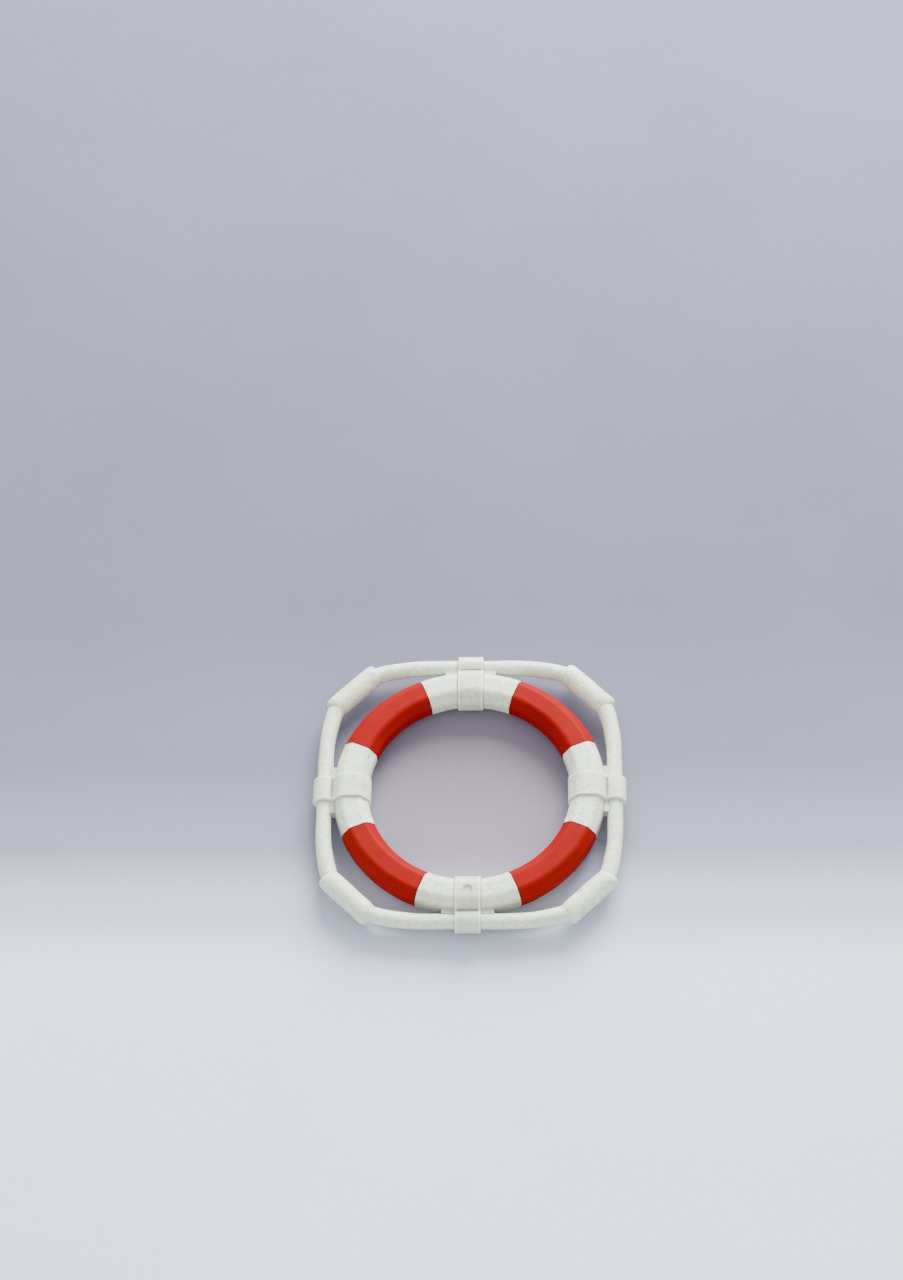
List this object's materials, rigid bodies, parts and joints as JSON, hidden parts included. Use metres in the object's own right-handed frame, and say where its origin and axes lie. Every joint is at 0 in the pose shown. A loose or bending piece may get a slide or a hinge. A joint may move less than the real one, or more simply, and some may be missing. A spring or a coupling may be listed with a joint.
{
  "type": "ring lifebuoy",
  "caption": "Miniature ring lifebuoy: hollow red and white ring, strapped all round with a grab line whose bights carry floats and swing up off the ring's plane.",
  "frame": {"origin": "on the resting plane, under the centre of the ring's hole; the ring lies flat with its front face up", "axes": "+Z along the ring's axis, out of its front face; +Y towards the strap opposite the studded one; +X to the right"},
  "size_m": [0.05, 0.05, 0.0059],
  "materials": {
    "white_shell": "off-white moulded plastic, faintly green, soft satin",
    "foam": "closed-cell foam, dull",
    "red_panel": "signal red, satin gloss",
    "strap": "off-white moulded plastic, soft satin",
    "saddle": "off-white moulded plastic",
    "line": "off-white springy plastic, satin",
    "float": "off-white moulded plastic, satin",
    "stud": "off-white moulded plastic, slightly darker"
  },
  "bodies": {
    "ring": {"ring_front_shell": "white_shell", "ring_back_shell": "white_shell", "ring_foam_core": "foam", "red_panel_front_ne": "red_panel", "red_panel_back_ne": "red_panel", "red_panel_front_nw": "red_panel", "red_panel_back_nw": "red_panel", "red_panel_front_sw": "red_panel", "red_panel_back_sw": "red_panel", "red_panel_front_se": "red_panel", "red_panel_back_se": "red_panel", "strap_right": "strap", "saddle_right": "saddle", "strapped_line_right": "line", "strap_top": "strap", "saddle_top": "saddle", "strapped_line_top": "line", "strap_left": "strap", "saddle_left": "saddle", "strapped_line_left": "line", "strap_bottom": "strap", "saddle_bottom": "saddle", "strapped_line_bottom": "line", "strap_stud": "stud"},
    "bight_ne": {"line_bight_ne": "line", "line_float_ne": "float"},
    "bight_nw": {"line_bight_nw": "line", "line_float_nw": "float"},
    "bight_sw": {"line_bight_sw": "line", "line_float_sw": "float"},
    "bight_se": {"line_bight_se": "line", "line_float_se": "float"}
  },
  "joints": [
    {"name": "bight_ne_swing", "type": "hinge", "parent": "ring", "child": "bight_ne", "pos_m": [0.01392, 0.01392, 0.00295], "axis": [0.7071, -0.7071, 0], "range_deg": [-80, 80], "stiffness_Nm_per_rad": 0.0005},
    {"name": "bight_nw_swing", "type": "hinge", "parent": "ring", "child": "bight_nw", "pos_m": [-0.01392, 0.01392, 0.00295], "axis": [0.7071, 0.7071, 0], "range_deg": [-80, 80], "stiffness_Nm_per_rad": 0.0005},
    {"name": "bight_sw_swing", "type": "hinge", "parent": "ring", "child": "bight_sw", "pos_m": [-0.01392, -0.01392, 0.00295], "axis": [-0.7071, 0.7071, 0], "range_deg": [-80, 80], "stiffness_Nm_per_rad": 0.0005},
    {"name": "bight_se_swing", "type": "hinge", "parent": "ring", "child": "bight_se", "pos_m": [0.01392, -0.01392, 0.00295], "axis": [-0.7071, -0.7071, 0], "range_deg": [-80, 80], "stiffness_Nm_per_rad": 0.0005}
  ]
}
